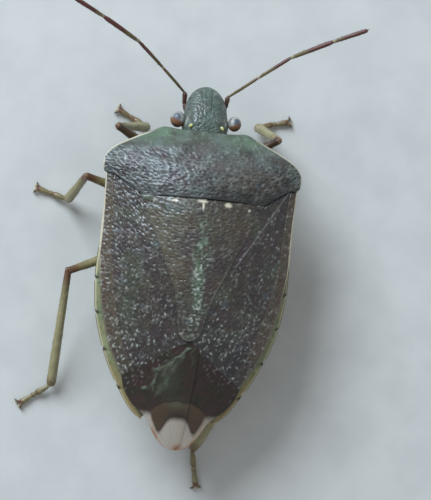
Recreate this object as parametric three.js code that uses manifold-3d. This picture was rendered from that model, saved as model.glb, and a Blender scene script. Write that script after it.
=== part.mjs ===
// Southern green shield bug in its brown-green winter colour, life size, standing still on its six feet.
// Millimetres, +Z up, +Y towards the head, +X towards the bug's own right.
// It is drawn with the shoulder line at y = 0 and the floor at z = 0, and moved as a whole at the end.
import * as THREE from 'three';
import { mergeVertices } from 'three/addons/utils/BufferGeometryUtils.js';
import Module from 'manifold-3d';

const wasm = await Module();
wasm.setup();

// Driving sizes
const GAP = 0.27;
const PLATE = 0.5;
const LIMB = 0.25;
const RIM_DROP = 1.0;

const HEAD_REAR = 1.83;
const HEAD_TIP = 3.38;
const HEAD_HALF_WIDTH = 0.8;
const HEAD_AT_EYES = 0.72;
const EYE_CENTRE = [1.16, 2.03, 2.92];
const EYE_RADII = [0.33, 0.3, 0.36];

const THORAX_FRONT = 1.25;
const THORAX_REAR = -3.23;
const ABDOMEN_REAR = -10.28;
const ABDOMEN_NOTCH = 0.75;
const SEGMENTS = 5;
const SHOULDER_HALF_WIDTH = 4.03;

const SCUTELLUM_TIP = -6.87;
const CORIUM_INNER_END = [0.62, -7.0];
const CORIUM_OUTER_END = [2.2, -8.65];
const MEMBRANE_TIP = -11.33;
const MEMBRANE_DIVIDE = 0.28;

const CLAW = 0.36;
const SOLE_HALF_HEIGHT = 0.21;
const LEG_SIDES = 9;

// Colours: red-green-blue tint and roughness
const DARK_GREEN = [0x3c4233, 0.45];
const DARK_BROWN = [0x3a352d, 0.45];
const FACE_GREEN = [0x4a5546, 0.5];
const EYE_GREY = [0x76757c, 0.25];
const SMOKY = [0x8d8068, 0.3];
const BELLY_GREEN = [0x77844a, 0.5];
const LEG_GREEN = [0x77793a, 0.45];
const FEELER_OLIVE = [0x5e5c30, 0.5];
const CAPSULE_BROWN = [0x4a3826, 0.5];

// A smooth curve through [place, value] pairs, in rising or falling order of place, that never overshoots.
function through(...pairs) {
  const knots = pairs[0][0] < pairs[pairs.length - 1][0] ? pairs : [...pairs].reverse();
  const last = knots.length - 1;
  const step = (i) => (knots[i + 1][1] - knots[i][1]) / (knots[i + 1][0] - knots[i][0]);
  const slopes = knots.map((knot, i) => {
    if (i === 0) return step(0);
    if (i === last) return step(last - 1);
    const before = step(i - 1);
    const after = step(i);
    return before * after <= 0 ? 0 : (2 * before * after) / (before + after);
  });
  return (place) => {
    const p = THREE.MathUtils.clamp(place, knots[0][0], knots[last][0]);
    let i = 0;
    while (i < last - 1 && p > knots[i + 1][0]) i += 1;
    const width = knots[i + 1][0] - knots[i][0];
    const u = (p - knots[i][0]) / width;
    const rise = u * u * (3 - 2 * u);
    const leaving = u * (1 - u) * (1 - u) * slopes[i];
    const arriving = u * u * (1 - u) * slopes[i + 1];
    return knots[i][1] * (1 - rise) + knots[i + 1][1] * rise + width * (leaving - arriving);
  };
}

const mix = THREE.MathUtils.lerp;
const smooth = THREE.MathUtils.smoothstep;

// Shape of the body: half width, height of its edge, rise of the back over the edge and keel of the belly
const halfWidth = through(
  [1.6, 1.6], [1.36, 2.2], [0.92, 3.1], [0.55, 3.7], [0.23, 3.95], [-0.05, 4.03], [-0.6, 3.9],
  [-2.5, 3.85], [-4.4, 3.9], [-5.8, 3.78], [-6.9, 3.5], [-8.0, 3.06], [-9.0, 2.5], [-9.8, 1.95],
  [-10.3, 1.45], [-11.4, 1.2],
);
const edgeHeight = through([1.6, 3.2], [0.5, 3.55], [-0.5, 3.7], [-3, 3.7], [-7, 3.45], [-9, 3.2], [-11.4, 3.05]);
const backRise = through(
  [1.6, 0.42], [1.0, 0.8], [0, 1.25], [-1.2, 1.48], [-2.5, 1.5], [-4, 1.36], [-6, 1.05], [-7.5, 0.8],
  [-9, 0.5], [-10.5, 0.22], [-11.4, 0.06],
);
const keel = through(
  [1.6, 2.1], [0.5, 1.95], [-2, 1.8], [-3.2, 1.62], [-4.5, 1.4], [-6, 1.35], [-7.5, 1.52], [-9, 1.85],
  [-10, 2.2], [-10.6, 2.35],
);

const across = (x, y) => Math.min(1, Math.abs(x) / halfWidth(y));

function back(x, y) {
  const u = across(x, y) ** 2;
  return edgeHeight(y) + backRise(y) * (1 - u) * (1 - 0.25 * u);
}

function belly(x, y) {
  return mix(keel(y), edgeHeight(y) - RIM_DROP, across(x, y) ** 1.3);
}

// Closed geometry from corner points and triangles, turned the right way out
function closed(points, triangles) {
  const corner = (i) => new THREE.Vector3(...points[i]);
  let volume = 0;
  for (const [a, b, c] of triangles) volume += corner(a).dot(corner(b).cross(corner(c)));
  const faces = volume > 0 ? triangles : triangles.map(([a, b, c]) => [a, c, b]);
  const geometry = new THREE.BufferGeometry();
  geometry.setAttribute('position', new THREE.Float32BufferAttribute(points.flat(), 3));
  geometry.setIndex(faces.flat());
  return geometry;
}

// A closed plate over a patch: plan(s, t) gives x and y, and over and under the heights of its two faces
function plate(plan, over, under, columns, rows) {
  const points = [];
  for (const height of [over, under]) {
    for (let j = 0; j <= rows; j += 1) {
      for (let i = 0; i <= columns; i += 1) {
        const s = i / columns;
        const t = j / rows;
        const [x, y] = plan(s, t);
        points.push([x, y, height(x, y, s, t)]);
      }
    }
  }
  const lower = (columns + 1) * (rows + 1);
  const at = (i, j) => j * (columns + 1) + i;
  const triangles = [];
  for (let j = 0; j < rows; j += 1) {
    for (let i = 0; i < columns; i += 1) {
      const [a, b, c, d] = [at(i, j), at(i + 1, j), at(i + 1, j + 1), at(i, j + 1)];
      triangles.push([a, b, c], [a, c, d]);
      triangles.push([lower + a, lower + c, lower + b], [lower + a, lower + d, lower + c]);
    }
  }
  const rim = [];
  for (let i = 0; i < columns; i += 1) rim.push(at(i, 0));
  for (let j = 0; j < rows; j += 1) rim.push(at(columns, j));
  for (let i = columns; i > 0; i -= 1) rim.push(at(i, rows));
  for (let j = rows; j > 0; j -= 1) rim.push(at(0, j));
  rim.forEach((a, k) => {
    const b = rim[(k + 1) % rim.length];
    triangles.push([a, lower + a, b], [b, lower + a, lower + b]);
  });
  return closed(points, triangles);
}

// A closed limb along a curve. Each end ring may slide along the limb onto a cutting plane, and a floor
// height flattens what would reach below it.
function limb(path, radius, steps, sides, { start, end, floor = -Infinity } = {}) {
  const curve = new THREE.CatmullRomCurve3(path.map((p) => new THREE.Vector3(...p)));
  const frames = curve.computeFrenetFrames(steps, false);
  const points = [];
  for (let j = 0; j <= steps; j += 1) {
    const along = j / steps;
    const centre = curve.getPointAt(along);
    const cut = (j === 0 && start) || (j === steps && end);
    for (let i = 0; i < sides; i += 1) {
      const angle = (i / sides) * 2 * Math.PI;
      const point = centre.clone()
        .addScaledVector(frames.normals[j], radius(along) * Math.cos(angle))
        .addScaledVector(frames.binormals[j], radius(along) * Math.sin(angle));
      if (cut) {
        const away = point.clone().sub(cut.point).dot(cut.normal);
        const slope = frames.tangents[j].dot(cut.normal);
        point.addScaledVector(frames.tangents[j], (GAP / 2 - away) / slope);
      }
      points.push([point.x, point.y, Math.max(floor, point.z)]);
    }
  }
  const triangles = [];
  for (let j = 0; j < steps; j += 1) {
    for (let i = 0; i < sides; i += 1) {
      const a = j * sides + i;
      const b = j * sides + ((i + 1) % sides);
      triangles.push([a, b, b + sides], [a, b + sides, a + sides]);
    }
  }
  const cap = (first, order) => {
    const middle = [0, 1, 2].map((k) => {
      let sum = 0;
      for (let i = 0; i < sides; i += 1) sum += points[first + i][k];
      return sum / sides;
    });
    points.push(middle);
    for (let i = 0; i < sides; i += 1) {
      const pair = [first + i, first + ((i + 1) % sides)];
      triangles.push([points.length - 1, pair[order], pair[1 - order]]);
    }
  };
  cap(0, 1);
  cap(steps * sides, 0);
  return closed(points, triangles);
}

// Joining and cutting of closed shapes
function solid(geometry) {
  const bare = geometry.clone();
  bare.deleteAttribute('normal');
  bare.deleteAttribute('uv');
  const merged = mergeVertices(bare);
  return new wasm.Manifold(new wasm.Mesh({
    numProp: 3,
    vertProperties: new Float32Array(merged.attributes.position.array),
    triVerts: new Uint32Array(merged.index.array),
  }));
}

function largest(manifold) {
  const piece = manifold.decompose().reduce((a, b) => (a.volume() > b.volume() ? a : b));
  const mesh = piece.getMesh();
  const geometry = new THREE.BufferGeometry();
  geometry.setAttribute('position', new THREE.BufferAttribute(new Float32Array(mesh.vertProperties), 3));
  geometry.setIndex(new THREE.BufferAttribute(new Uint32Array(mesh.triVerts), 1));
  return geometry;
}

const join = (first, ...others) => largest(others.reduce((sum, other) => sum.add(solid(other)), solid(first)));
const cut = (first, ...others) => largest(others.reduce((rest, other) => rest.subtract(solid(other)), solid(first)));

const bug = new THREE.Group();

function add(name, geometry, [colour, roughness]) {
  const material = new THREE.MeshStandardMaterial({ color: colour, roughness, metalness: 0 });
  const mesh = new THREE.Mesh(geometry, material);
  mesh.name = name;
  bug.add(mesh);
}

// Head: a wedge with a rounded front, narrowed where the eyes sit, with two seams beside its middle lobe
function makeHead() {
  const rear = 2.35;
  const top = through([HEAD_REAR, 3.42], [2.4, 3.2], [3.0, 2.8], [HEAD_TIP, 2.38]);
  const bottom = through([HEAD_REAR, 2.1], [2.6, 1.92], [3.1, 1.96], [HEAD_TIP, 2.12]);
  const width = (y) => {
    if (y < rear) return mix(HEAD_AT_EYES, HEAD_HALF_WIDTH, smooth(y, 2.2, rear));
    return HEAD_HALF_WIDTH * Math.sqrt(Math.max(0.02, 1 - ((y - rear) / (HEAD_TIP - rear)) ** 2));
  };
  const plan = (s, t) => {
    const y = mix(HEAD_REAR, HEAD_TIP, Math.sin((t * Math.PI) / 2));
    return [(2 * s - 1) * width(y), y];
  };
  const seam = (s, y) => 0.06 * Math.exp(-(((Math.abs(2 * s - 1) - 1 / 3) / 0.08) ** 2)) * smooth(y, 2.4, 2.8);
  const over = (x, y, s) => mix(top(y), mix(bottom(y), top(y), 0.6), Math.abs(2 * s - 1) ** 2.4) - seam(s, y);
  const under = (x, y, s) => mix(bottom(y), mix(bottom(y), top(y), 0.3), Math.abs(2 * s - 1) ** 2);
  return plate(plan, over, under, 12, 10);
}

// Eye: an ellipsoid with a flat inner face towards the head
function makeEye(side) {
  const geometry = new THREE.SphereGeometry(1, 14, 10);
  geometry.scale(...EYE_RADII);
  geometry.translate(...EYE_CENTRE);
  const position = geometry.attributes.position;
  for (let i = 0; i < position.count; i += 1) {
    position.setX(i, Math.max(HEAD_AT_EYES + GAP, position.getX(i)));
  }
  return sided(geometry, side);
}

// Mirrors a shape drawn on the bug's right to the side asked for
function sided(geometry, side) {
  if (side > 0) return geometry;
  const position = geometry.attributes.position;
  for (let i = 0; i < position.count; i += 1) position.setX(i, -position.getX(i));
  const index = geometry.index;
  for (let i = 0; i < index.count; i += 3) {
    const second = index.getX(i + 1);
    index.setX(i + 1, index.getX(i + 2));
    index.setX(i + 2, second);
  }
  return geometry;
}

// Feeler: five joined lengths, waisted where they meet, the last two thicker
function makeAntenna(side) {
  const joints = [
    [1.04, 2.62, 2.28], [0.98, 3.06, 2.45], [1.9, 3.9, 2.95], [3.08, 4.84, 3.55], [4.62, 5.62, 4.2],
    [5.9, 6.2, 4.65],
  ];
  const waist = 0.17;
  const full = [0.24, 0.21, 0.21, 0.25, 0.25];
  const ends = [0];
  for (let i = 1; i < joints.length; i += 1) {
    ends.push(ends[i - 1] + new THREE.Vector3(...joints[i]).distanceTo(new THREE.Vector3(...joints[i - 1])));
  }
  const total = ends[ends.length - 1];
  const knots = [];
  full.forEach((r, i) => {
    const [from, to] = [ends[i] / total, ends[i + 1] / total];
    knots.push([from, i === 0 ? r : waist], [mix(from, to, 0.3), r], [mix(from, to, 0.8), r]);
  });
  knots.push([1, 0.08]);
  const path = joints.map(([x, y, z]) => [side * x, y, z]);
  return limb(path, through(...knots), 32, 7);
}

// Beak: folded back under the head, lying between the hips
function makeRostrum() {
  const path = [[0, 3.02, 1.6], [0, 2.72, 1.38], [0, 1.5, 1.34], [0, -0.5, 1.3], [0, -2.75, 1.22]];
  return limb(path, through([0, 0.24], [0.3, LIMB], [0.8, 0.22], [1, 0.1]), 14, 8);
}

// Shield behind the head: thick in front, as thin as the wings at the rear, with thin side edges
const shieldFront = through(
  [0, 1.55], [0.8, 1.5], [1.2, 1.43], [1.6, 1.57], [2.2, 1.36], [3.1, 0.92], [3.7, 0.55], [3.95, 0.23],
  [SHOULDER_HALF_WIDTH, -0.02],
);
const shieldRear = through(
  [0, -1.12], [1.6, -1.17], [2.2, -1.27], [2.9, -0.88], [3.6, -0.5], [3.93, -0.42], [SHOULDER_HALF_WIDTH, -0.22],
);

function shieldThickness(x, y) {
  const u = across(x, y) ** 2;
  return mix(mix(1.3, PLATE + 0.08, smooth(-y, -1.6, 0.9)), PLATE - 0.05, u);
}

function makePronotum() {
  const plan = (s, t) => {
    const x = SHOULDER_HALF_WIDTH * Math.sin((s - 0.5) * Math.PI);
    return [x, mix(shieldRear(Math.abs(x)), shieldFront(Math.abs(x)), t)];
  };
  return plate(plan, back, (x, y) => back(x, y) - shieldThickness(x, y), 24, 9);
}

// Scutellum: the triangle in the middle of the back
const scutellumHalfWidth = through(
  [-1.3, 2.42], [-2.4, 1.86], [-3.64, 1.26], [-5.27, 0.68], [-6.4, 0.47], [-6.75, 0.32], [SCUTELLUM_TIP, 0.12],
);

function makeScutellum() {
  const plan = (s, t) => {
    const y = mix(-1.48, SCUTELLUM_TIP, t ** 0.9);
    const x = (2 * s - 1) * scutellumHalfWidth(y);
    const base = shieldRear(Math.abs(x)) - GAP - y;
    return [x, y + base * (1 - t) ** 6];
  };
  const over = (x, y, s) => back(x, y) + 0.08 * (1 - (2 * s - 1) ** 2);
  return plate(plan, over, (x, y, s) => over(x, y, s) - PLATE - 0.04, 10, 13);
}

// Leathery part of each fore wing, from the scutellum's side out to the body's edge
const wingEdge = through(
  [-0.6, 3.9], [-2.5, 3.85], [-3.6, 3.86], [-4.6, 3.74], [-5.5, 3.6], [-6.5, 3.34], [-7.3, 3.06], [-8.05, 2.62],
  [CORIUM_OUTER_END[1], CORIUM_OUTER_END[0]],
);

function makeCorium(side) {
  const inner = (t) => {
    const y = mix(-1.62, CORIUM_INNER_END[1], t);
    return [scutellumHalfWidth(y) + GAP * 1.12, y];
  };
  const outer = (t) => {
    const y = mix(-0.8, CORIUM_OUTER_END[1], t);
    return [wingEdge(y), y];
  };
  const plan = (s, t) => {
    const [a, b] = [inner(t), outer(t)];
    const x = mix(a[0], b[0], s);
    const y = mix(a[1], b[1], s);
    return [x, y + (shieldRear(x) - GAP * 1.1 - y) * (1 - t) ** 5];
  };
  const groove = (s) => 0.09 * Math.exp(-(((s - 0.3) / 0.05) ** 2)) + 0.05 * Math.exp(-(((s - 0.8) / 0.05) ** 2));
  const over = (x, y, s) => back(x, y) - groove(s);
  const under = (x, y, s) => back(x, y) - PLATE + 0.1 * smooth(s, 0.8, 1);
  return sided(plate(plan, over, under, 10, 14), side);
}

// Thin hind part of each fore wing, with its veins raised. The left one reaches past the middle.
function makeMembrane(side) {
  const outerX = through([0, 2.0], [0.3, 1.62], [0.5, 1.2], [0.7, 0.95], [0.9, 0.62], [1, 0.24]);
  const outerY = through([0, -8.84], [0.3, -9.6], [0.5, -10.1], [0.7, -10.6], [0.9, -11.15], [1, MEMBRANE_TIP]);
  const edge = side < 0 ? MEMBRANE_DIVIDE : -MEMBRANE_DIVIDE - GAP;
  const inner = (t) => [-mix(edge, side < 0 ? -0.02 : -0.12 - GAP / 2, t ** 2), mix(-7.17, MEMBRANE_TIP, t)];
  const plan = (s, t) => {
    const a = inner(t);
    const bulge = 0.24 * (1 - t) * Math.sin(Math.PI * s);
    return [mix(outerX(t), a[0], s), mix(outerY(t), a[1], s) + bulge];
  };
  const vein = (s, t) => 0.12 * Math.max(0, Math.cos(s * 10 * Math.PI)) * smooth(1 - t, 0, 0.25);
  const over = (x, y, s, t) => back(x, y) + vein(s, t);
  const under = (x, y, s, t) => back(x, y) - mix(PLATE, 0.3, smooth(t, 0.6, 1));
  return sided(plate(plan, over, under, 20, 10), side);
}

// Legs: hip, knee, ankle and toe of each, as they stand
const LEGS = {
  front_left: { hip: [-0.95, 0.15, 1.45], knee: [-3.46, 1.42, 2.75], ankle: [-2.05, 1.6, 0.36], toe: [-3.38, 2.27] },
  front_right: { hip: [0.95, 0.15, 1.45], knee: [3.04, 1.5, 2.75], ankle: [2.52, 2.06, 0.36], toe: [3.96, 2.46] },
  middle_left: { hip: [-1.15, -1.55, 1.4], knee: [-4.56, -0.7, 2.9], ankle: [-5.0, -1.68, 0.36], toe: [-6.42, -1.3] },
  middle_right: { hip: [1.15, -1.55, 1.4], knee: [3.6, -3.8, 2.2], ankle: [3.5, -6.15, 0.36], toe: [3.12, -7.55] },
  hind_left: { hip: [-1.4, -3.0, 1.4], knee: [-4.86, -4.55, 2.4], ankle: [-4.94, -9.28, 0.36], toe: [-6.25, -10.25] },
  hind_right: { hip: [1.4, -3.0, 1.35], knee: [3.05, -7.0, 1.65], ankle: [1.14, -11.4, 0.36], toe: [1.48, -13.05] },
};
const HIP_LENGTH = 0.42;
const thigh = through([0, 0.22], [0.2, 0.26], [0.45, 0.28], [0.8, 0.24], [1, 0.21]);
const shin = through([0, 0.21], [0.15, 0.22], [0.85, LIMB], [1, 0.24]);
const vector = (point) => new THREE.Vector3(...point);

// The plane between two limbs that meet at a point, seen from the first one
function mitre(from, at, to) {
  const there = vector(from).sub(vector(at)).normalize();
  const onward = vector(to).sub(vector(at)).normalize();
  return { point: vector(at), normal: there.sub(onward).normalize() };
}

function makeHip({ hip, knee }) {
  const way = vector(knee).sub(vector(hip)).normalize();
  const from = vector(hip).addScaledVector(way, -0.12);
  const to = vector(hip).addScaledVector(way, HIP_LENGTH);
  const root = [hip[0], hip[1], hip[2] + 0.62];
  const bulb = limb([root, [hip[0], hip[1], hip[2] + 0.3], hip], through([0, 0.38], [0.7, 0.36], [1, 0.22]), 4, LEG_SIDES);
  const stub = limb([from.toArray(), to.toArray()], through([0, 0.3], [0.6, 0.3], [1, 0.26]), 3, LEG_SIDES);
  return [bulb, stub];
}

function thighStart({ hip, knee }) {
  const way = vector(knee).sub(vector(hip)).normalize();
  return vector(hip).addScaledVector(way, HIP_LENGTH + GAP).toArray();
}

function makeFemur(leg) {
  return limb([thighStart(leg), leg.knee], thigh, 8, LEG_SIDES, { end: mitre(leg.hip, leg.knee, leg.ankle) });
}

// The room that a thigh needs in the underside it passes
function thighRoom(leg) {
  const start = vector(thighStart(leg));
  const way = vector(leg.knee).sub(start).normalize();
  const end = vector(leg.knee).addScaledVector(way, 1);
  start.addScaledVector(way, -GAP * 0.8);
  return limb([start.toArray(), end.toArray()], (u) => thigh(u) + GAP, 4, 10);
}

function makeTibia(leg) {
  return limb([leg.knee, leg.ankle], shin, 8, LEG_SIDES, {
    start: mitre(leg.ankle, leg.knee, leg.hip),
    end: mitre(leg.knee, leg.ankle, [...leg.toe, SOLE_HALF_HEIGHT]),
    floor: 0,
  });
}

// Foot: three joints on a flat sole, and two claws
function makeTarsus(leg) {
  const ankle = [leg.ankle[0], leg.ankle[1], leg.ankle[2]];
  const toe = [...leg.toe, SOLE_HALF_HEIGHT];
  const way = vector(toe).sub(vector(ankle)).setZ(0).normalize();
  const end = vector(toe).addScaledVector(way, -0.2);
  const part = (u) => [mix(ankle[0], end.x, u), mix(ankle[1], end.y, u), mix(ankle[2], SOLE_HALF_HEIGHT, Math.min(1, 3 * u))];
  const girth = through(
    [0, 0.23], [0.3, LIMB], [0.4, LIMB], [0.46, 0.2], [0.58, 0.23], [0.64, 0.19], [0.9, LIMB], [1, 0.16],
  );
  const foot = limb([part(0), part(0.33), part(0.66), part(1)], girth, 12, 8, {
    start: mitre(toe, ankle, leg.knee),
    floor: 0,
  });
  const claws = [-1, 1].map((turn) => {
    const out = way.clone().applyAxisAngle(new THREE.Vector3(0, 0, 1), turn * 0.75);
    const root = end.clone().addScaledVector(way, -0.14);
    const middle = root.clone().addScaledVector(out, CLAW * 0.6);
    const tip = root.clone().addScaledVector(out, CLAW);
    middle.z = 0.2;
    tip.z = 0.05;
    return limb([root, middle, tip].map((p) => p.toArray()), through([0, 0.13], [1, 0.04]), 3, 5, { floor: 0 });
  });
  return join(foot, ...claws);
}

// Underside of the thorax with the six hips, and room for the thighs
function makeThorax() {
  const plan = (s, t) => {
    const y = mix(THORAX_FRONT, THORAX_REAR, t);
    return [(2 * s - 1) * (halfWidth(y) - 0.25), y];
  };
  const over = (x, y) => {
    const shield = y > -1.2 ? shieldThickness(x, y) : PLATE + 0.02;
    return back(x, y) - shield - GAP;
  };
  const body = plate(plan, over, belly, 16, 11);
  const legs = Object.values(LEGS);
  return join(cut(body, ...legs.map(thighRoom)), ...legs.flatMap(makeHip));
}

// Abdomen: under the wings, its edge showing beside them and nicked between the segments, notched behind
function makeAbdomen() {
  const plan = (s, t) => {
    const y = mix(THORAX_REAR - GAP, ABDOMEN_REAR, t);
    const nick = 0.06 * Math.max(0, Math.cos(2 * Math.PI * SEGMENTS * t));
    return [(2 * s - 1) * (halfWidth(y) - nick), y + ABDOMEN_NOTCH * t ** 6 * (1 - (2 * s - 1) ** 4)];
  };
  const over = (x, y) => {
    const lift = 0.2 * smooth(Math.abs(x), Math.min(wingEdge(y), halfWidth(y) - 0.2), halfWidth(y));
    return back(x, y) - PLATE - 0.02 - GAP + (y < -3.6 ? lift : 0);
  };
  return cut(plate(plan, over, belly, 16, 4 * SEGMENTS), ...Object.values(LEGS).map(thighRoom));
}

// Last segment, seen through the thin wing tips: two lobes with a notch between
function makeAbdomenTip() {
  const reach = (x) => -10.17 - 0.41 * Math.exp(-(((Math.abs(x) - 0.7) / 0.22) ** 2));
  const plan = (s, t) => {
    const x = (2 * s - 1) * 0.98;
    const front = ABDOMEN_REAR + ABDOMEN_NOTCH * (1 - (x / 1.5) ** 4) - GAP;
    return [x, mix(front, reach(x), t)];
  };
  const over = (x, y) => back(x, y) - PLATE - 0.05 - GAP;
  return plate(plan, over, (x, y) => over(x, y) - 0.5, 16, 5);
}

add('head', makeHead(), FACE_GREEN);
add('rostrum', makeRostrum(), FEELER_OLIVE);
add('pronotum', makePronotum(), DARK_GREEN);
add('scutellum', makeScutellum(), DARK_GREEN);
add('thorax', makeThorax(), BELLY_GREEN);
add('abdomen', makeAbdomen(), BELLY_GREEN);
add('abdomen_tip', makeAbdomenTip(), CAPSULE_BROWN);
for (const [name, side] of [['left', -1], ['right', 1]]) {
  add(`eye_${name}`, makeEye(side), EYE_GREY);
  add(`antenna_${name}`, makeAntenna(side), FEELER_OLIVE);
  add(`corium_${name}`, makeCorium(side), DARK_BROWN);
  add(`membrane_${name}`, makeMembrane(side), SMOKY);
}
for (const [name, leg] of Object.entries(LEGS)) {
  add(`femur_${name}`, makeFemur(leg), LEG_GREEN);
  add(`tibia_${name}`, makeTibia(leg), LEG_GREEN);
  add(`tarsus_${name}`, makeTarsus(leg), LEG_GREEN);
}

// The origin is the middle of the floor under the whole bug
const box = new THREE.Box3().setFromObject(bug);
const centre = box.getCenter(new THREE.Vector3());
bug.position.set(-centre.x, -centre.y, -box.min.z);

export default bug;
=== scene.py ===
"""Looks of a southern green shield bug in its brown-green winter colour, built round its solids.

Shapes are drawn in millimetres with the shoulder line at y = 0, +Y towards the head and +X to the bug's right,
as the solids are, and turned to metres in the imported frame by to_frame().
"""
import math

import bpy
import numpy as np
from mathutils import Matrix, Vector


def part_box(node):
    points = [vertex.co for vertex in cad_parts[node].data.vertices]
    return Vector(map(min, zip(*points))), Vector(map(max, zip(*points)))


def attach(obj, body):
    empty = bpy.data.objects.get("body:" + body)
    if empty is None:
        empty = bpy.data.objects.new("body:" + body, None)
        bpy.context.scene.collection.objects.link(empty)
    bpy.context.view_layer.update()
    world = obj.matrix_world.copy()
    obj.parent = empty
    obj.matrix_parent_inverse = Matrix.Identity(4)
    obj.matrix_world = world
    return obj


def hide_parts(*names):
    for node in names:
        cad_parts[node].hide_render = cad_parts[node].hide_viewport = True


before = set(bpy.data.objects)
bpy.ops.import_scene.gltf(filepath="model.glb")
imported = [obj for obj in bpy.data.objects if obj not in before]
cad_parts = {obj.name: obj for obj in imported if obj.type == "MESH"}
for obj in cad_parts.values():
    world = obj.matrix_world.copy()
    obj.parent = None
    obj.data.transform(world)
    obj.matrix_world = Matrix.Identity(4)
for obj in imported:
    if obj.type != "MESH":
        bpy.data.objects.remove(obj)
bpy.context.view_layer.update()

MM = 0.001
SIDES = {"left": -1, "right": 1}

# Sizes shared with the solids
SHOULDER_HALF_WIDTH = 4.03
HEAD_TIP = 3.38
SCUTELLUM_TIP = -6.87
CORIUM_OUTER_END = (2.36, -8.62)
MEMBRANE_TIP = -11.33
ABDOMEN_REAR = -10.28
SEGMENT_LENGTH = 1.356

shield_low, shield_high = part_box("pronotum")
SHIFT = np.array([(shield_low[0] + shield_high[0]) / 2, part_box("head")[1][1] - HEAD_TIP * MM, 0.0])


def to_frame(points):
    return np.asarray(points, dtype=float) * MM + SHIFT


def srgb(red, green, blue):
    """Linear colour with alpha from 0 to 255 display values."""
    values = np.array([red, green, blue]) / 255
    linear = np.where(values <= 0.04045, values / 12.92, ((values + 0.055) / 1.055) ** 2.4)
    return (*(float(v) for v in linear), 1.0)


def through(*pairs):
    """A smooth curve through (place, value) pairs that never overshoots them."""
    x, y = np.array(sorted(pairs), dtype=float).T
    step = np.diff(y) / np.diff(x)
    slope = np.empty_like(x)
    slope[0], slope[-1] = step[0], step[-1]
    product = step[:-1] * step[1:]
    total = step[:-1] + step[1:]
    slope[1:-1] = np.where(product > 0, 2 * product / np.where(total == 0, 1, total), 0)

    def value(place):
        p = np.clip(place, x[0], x[-1])
        i = np.clip(np.searchsorted(x, p, side="right") - 1, 0, len(x) - 2)
        width = x[i + 1] - x[i]
        u = (p - x[i]) / width
        rise = u * u * (3 - 2 * u)
        bend = u * (1 - u) * ((1 - u) * slope[i] - u * slope[i + 1])
        return y[i] * (1 - rise) + y[i + 1] * rise + width * bend

    return value


def smooth(value, low, high):
    u = np.clip((value - low) / (high - low), 0, 1)
    return u * u * (3 - 2 * u)


def bell(value, middle, width):
    return np.exp(-(((value - middle) / width) ** 2))


def spot(across_it, along_it, half_across, half_along):
    """A soft oval from 1 in its middle to 0, by the distances from its two axes."""
    return bell(np.hypot(across_it / half_across, along_it / half_along), 0, 1)


def unit(way):
    return np.asarray(way) / np.linalg.norm(way)


# Shape of the body: half width, height of its edge, rise of the back over the edge and keel of the belly
half_width = through(
    (1.6, 1.6), (1.36, 2.2), (0.92, 3.1), (0.55, 3.7), (0.23, 3.95), (-0.05, 4.03), (-0.6, 3.9), (-2.5, 3.85),
    (-4.4, 3.9), (-5.8, 3.78), (-6.9, 3.5), (-8.0, 3.06), (-9.0, 2.5), (-9.8, 1.95), (-10.3, 1.45),
    (-11.4, 1.2),
)
edge_height = through((1.6, 3.2), (0.5, 3.55), (-0.5, 3.7), (-3, 3.7), (-7, 3.45), (-9, 3.2), (-11.4, 3.05))
back_rise = through(
    (1.6, 0.42), (1.0, 0.8), (0, 1.25), (-1.2, 1.48), (-2.5, 1.5), (-4, 1.36), (-6, 1.05), (-7.5, 0.8),
    (-9, 0.5), (-10.5, 0.22), (-11.4, 0.06),
)
keel = through(
    (1.6, 2.1), (0.5, 1.95), (-2, 1.8), (-3.2, 1.62), (-4.5, 1.4), (-6, 1.35), (-7.5, 1.52), (-9, 1.85),
    (-10, 2.2), (-10.6, 2.35),
)
shield_front = through(
    (0, 1.55), (0.8, 1.53), (1.2, 1.55), (1.6, 1.6), (2.2, 1.36), (3.1, 0.92), (3.7, 0.55), (3.95, 0.23),
    (SHOULDER_HALF_WIDTH, -0.02),
)
shield_rear = through(
    (0, -1.17), (1.6, -1.2), (2.2, -1.3), (2.9, -0.92), (3.6, -0.52), (3.93, -0.44),
    (SHOULDER_HALF_WIDTH, -0.22),
)
scutellum_half_width = through(
    (-1.2, 2.5), (-2.4, 1.95), (-3.64, 1.38), (-5.27, 0.72), (-6.4, 0.5), (-6.75, 0.34), (SCUTELLUM_TIP, 0.1),
)
wing_edge = through(
    (-0.6, 3.9), (-2.5, 3.85), (-3.6, 3.86), (-4.6, 3.74), (-5.5, 3.6), (-6.5, 3.34), (-7.3, 3.08),
    (-8.05, 2.68), (CORIUM_OUTER_END[1], CORIUM_OUTER_END[0]),
)


def across(x, y):
    return np.minimum(1, np.abs(x) / half_width(y))


def back(x, y):
    u = across(x, y) ** 2
    return edge_height(y) + back_rise(y) * (1 - u) * (1 - 0.25 * u)


# Meshes
def piece(name, points, faces, masks, material, slot, *nodes):
    """A smooth mesh from points in millimetres, with masks for its material, in place of the nodes."""
    points = to_frame(points)
    faces = np.asarray(faces, dtype=np.int32)
    mesh = bpy.data.meshes.new(name)
    mesh.vertices.add(len(points))
    mesh.vertices.foreach_set("co", points.astype(np.float32).ravel())
    mesh.loops.add(faces.size)
    mesh.loops.foreach_set("vertex_index", faces.ravel())
    mesh.polygons.add(len(faces))
    mesh.polygons.foreach_set("loop_start", np.arange(0, faces.size, faces.shape[1], dtype=np.int32))
    mesh.polygons.foreach_set("use_smooth", np.ones(len(faces), dtype=bool))
    for key, values in masks.items():
        layer = mesh.attributes.new(key, "FLOAT", "POINT")
        layer.data.foreach_set("value", values.astype(np.float32))
    mesh.update(calc_edges=True)
    mesh.validate()
    mesh.materials.append(material)
    thing = bpy.data.objects.new(name, mesh)
    bpy.context.collection.objects.link(thing)
    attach(thing, "root")
    if nodes:
        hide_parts(*nodes)


def outward(points, faces):
    """The faces of a closed shape, turned so that their normals point out of it."""
    a, b, c, d = (points[faces[:, i]] for i in range(4))
    volume = np.sum(a * np.cross(b, c)) + np.sum(a * np.cross(c, d))
    return faces if volume >= 0 else faces[:, ::-1]


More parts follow.
